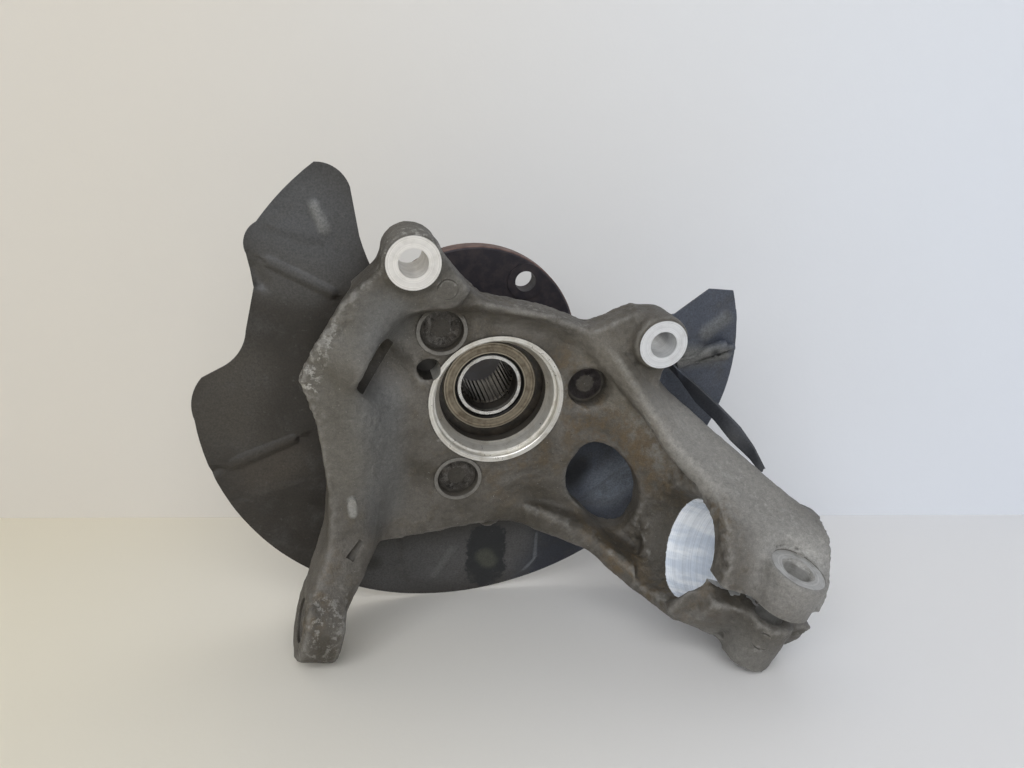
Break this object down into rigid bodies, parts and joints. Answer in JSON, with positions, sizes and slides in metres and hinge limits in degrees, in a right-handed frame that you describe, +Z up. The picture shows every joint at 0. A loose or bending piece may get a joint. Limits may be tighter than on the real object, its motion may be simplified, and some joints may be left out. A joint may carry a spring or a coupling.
{
  "type": "steering knuckle with wheel hub",
  "caption": "Cast steering knuckle with split strut clamp and caliper ears, carrying a bolt-on wheel hub bearing with splined bore and a pressed brake dust shield.",
  "frame": {"origin": "centre of the hub flange's wheel-mounting face, on the wheel axis", "axes": "+X along the assembly's longest extent, towards the strut clamp; +Z up in the resting pose of the picture, standing on the track rod lug, the clamp's lower ear and the shield's lower rim; the wheel axis points to +Y and 14.3 degrees up, outboard"},
  "size_m": [0.3383, 0.207, 0.2697],
  "materials": {
    "cast_aluminium": "rough casting, dirty",
    "hub_steel": "dark, rusty rim",
    "bearing_steel": "ground, stained",
    "ball_steel": "polished",
    "cage_plastic": "matt",
    "seal_rubber": "matt",
    "encoder_rubber": "matt",
    "bolt_steel": "phosphated, dull",
    "shield_paint": "dull, dusty",
    "screw_steel": "zinc, dull"
  },
  "bodies": {
    "carrier": {"knuckle": "cast_aluminium", "bearing_outer_ring": "bearing_steel", "seal_inboard": "seal_rubber", "seal_outboard": "seal_rubber", "bearing_bolts": "bolt_steel", "dust_shield": "shield_paint", "shield_screws": "screw_steel"},
    "wheel_hub": {"hub": "hub_steel", "bearing_inner_ring": "bearing_steel", "encoder_ring": "encoder_rubber"},
    "inboard_row": {"balls_inboard": "ball_steel", "cage_inboard": "cage_plastic"},
    "outboard_row": {"balls_outboard": "ball_steel", "cage_outboard": "cage_plastic"}
  },
  "joints": [
    {"name": "hub_spin", "type": "hinge", "parent": "carrier", "child": "wheel_hub", "pos_m": [0, 0, 0], "axis": [0.0004, 0.9692, 0.2463], "continuous": true},
    {"name": "inboard_row_spin", "type": "hinge", "parent": "carrier", "child": "inboard_row", "pos_m": [0, 0, 0], "axis": [0.0004, 0.9692, 0.2463], "continuous": true},
    {"name": "outboard_row_spin", "type": "hinge", "parent": "carrier", "child": "outboard_row", "pos_m": [0, 0, 0], "axis": [0.0004, 0.9692, 0.2463], "continuous": true}
  ],
  "couplings": [
    {"joint": "inboard_row_spin", "follows": "hub_spin", "ratio": 0.423},
    {"joint": "outboard_row_spin", "follows": "hub_spin", "ratio": 0.423}
  ]
}
